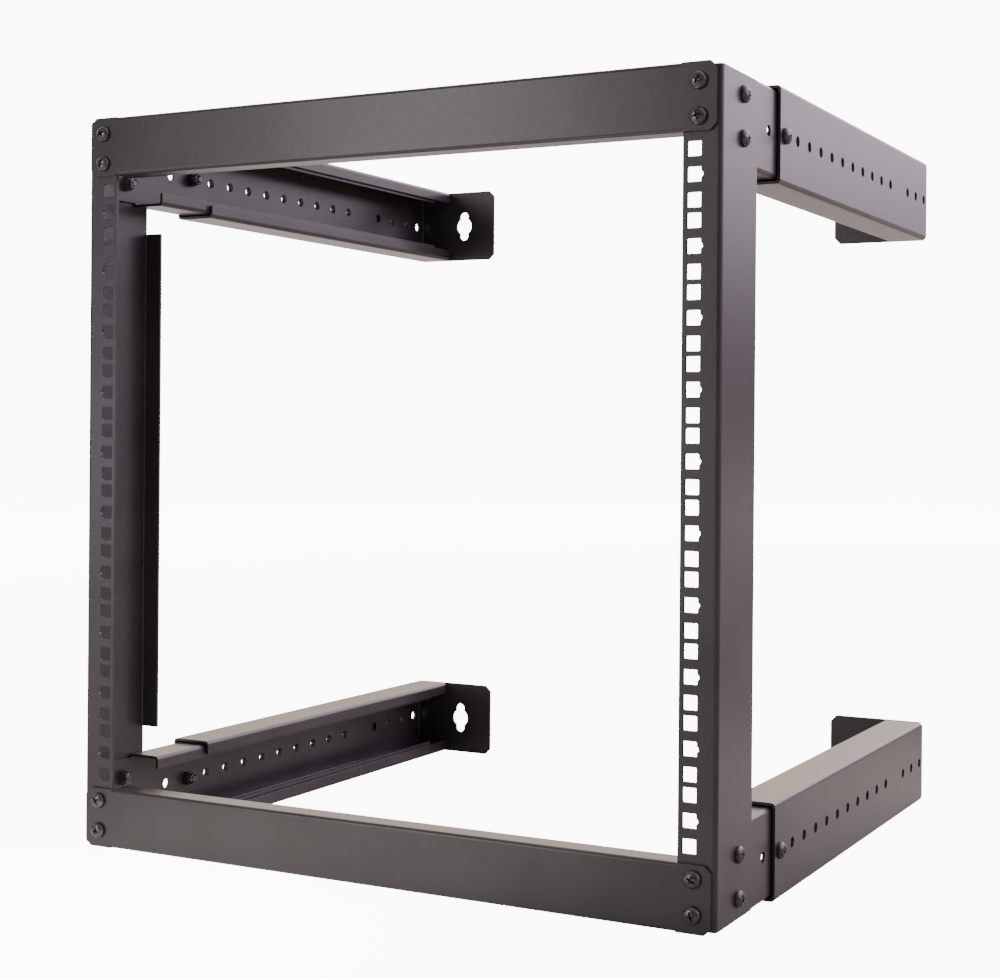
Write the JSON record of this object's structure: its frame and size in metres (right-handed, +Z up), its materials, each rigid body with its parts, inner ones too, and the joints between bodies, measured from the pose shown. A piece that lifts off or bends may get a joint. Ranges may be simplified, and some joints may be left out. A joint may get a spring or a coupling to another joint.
{
  "type": "wall mount open frame rack",
  "caption": "Open frame equipment rack for a wall: two holed uprights and two bars in front, telescoping arms that set the depth, and wall tabs with keyholes.",
  "frame": {"origin": "centre of the four wall keyholes, on the plane of the wall", "axes": "+Y points into the wall, +Z up, +X to the right seen from the front; the rails' front faces are at Y = -482.6 mm"},
  "size_m": [0.5116, 0.4886, 0.545],
  "materials": {
    "powder_coat": "fine satin powder coat",
    "black_screw": "black plated, glossy",
    "zinc_nut": "dark zinc"
  },
  "bodies": {
    "frame": {"upright_left": "powder_coat", "upright_right": "powder_coat", "top_bar": "powder_coat", "bottom_bar": "powder_coat", "arm_top_left": "powder_coat", "arm_top_right": "powder_coat", "arm_bottom_left": "powder_coat", "arm_bottom_right": "powder_coat", "bar_screws_top_left": "black_screw", "bar_screws_top_right": "black_screw", "bar_screws_bottom_left": "black_screw", "bar_screws_bottom_right": "black_screw", "bar_nuts_top_left": "zinc_nut", "bar_nuts_top_right": "zinc_nut", "bar_nuts_bottom_left": "zinc_nut", "bar_nuts_bottom_right": "zinc_nut", "arm_screws_top_left": "black_screw", "arm_screws_top_right": "black_screw", "arm_screws_bottom_left": "black_screw", "arm_screws_bottom_right": "black_screw", "arm_nuts_top_left": "zinc_nut", "arm_nuts_top_right": "zinc_nut", "arm_nuts_bottom_left": "zinc_nut", "arm_nuts_bottom_right": "zinc_nut"},
    "wall_arm_top_left": {"sleeve_top_left": "powder_coat", "depth_bolt_top_left": "black_screw", "depth_nut_top_left": "zinc_nut"},
    "wall_arm_top_right": {"sleeve_top_right": "powder_coat", "depth_bolt_top_right": "black_screw", "depth_nut_top_right": "zinc_nut"},
    "wall_arm_bottom_left": {"sleeve_bottom_left": "powder_coat", "depth_bolt_bottom_left": "black_screw", "depth_nut_bottom_left": "zinc_nut"},
    "wall_arm_bottom_right": {"sleeve_bottom_right": "powder_coat", "depth_bolt_bottom_right": "black_screw", "depth_nut_bottom_right": "zinc_nut"}
  },
  "joints": [
    {"name": "depth_slide_top_left", "type": "slide", "parent": "frame", "child": "wall_arm_top_left", "axis": [0, 1, 0], "range_m": [-0.0254, 0.2794]},
    {"name": "depth_slide_top_right", "type": "slide", "parent": "frame", "child": "wall_arm_top_right", "axis": [0, 1, 0], "range_m": [-0.0254, 0.2794]},
    {"name": "depth_slide_bottom_left", "type": "slide", "parent": "frame", "child": "wall_arm_bottom_left", "axis": [0, 1, 0], "range_m": [-0.0254, 0.2794]},
    {"name": "depth_slide_bottom_right", "type": "slide", "parent": "frame", "child": "wall_arm_bottom_right", "axis": [0, 1, 0], "range_m": [-0.0254, 0.2794]}
  ]
}
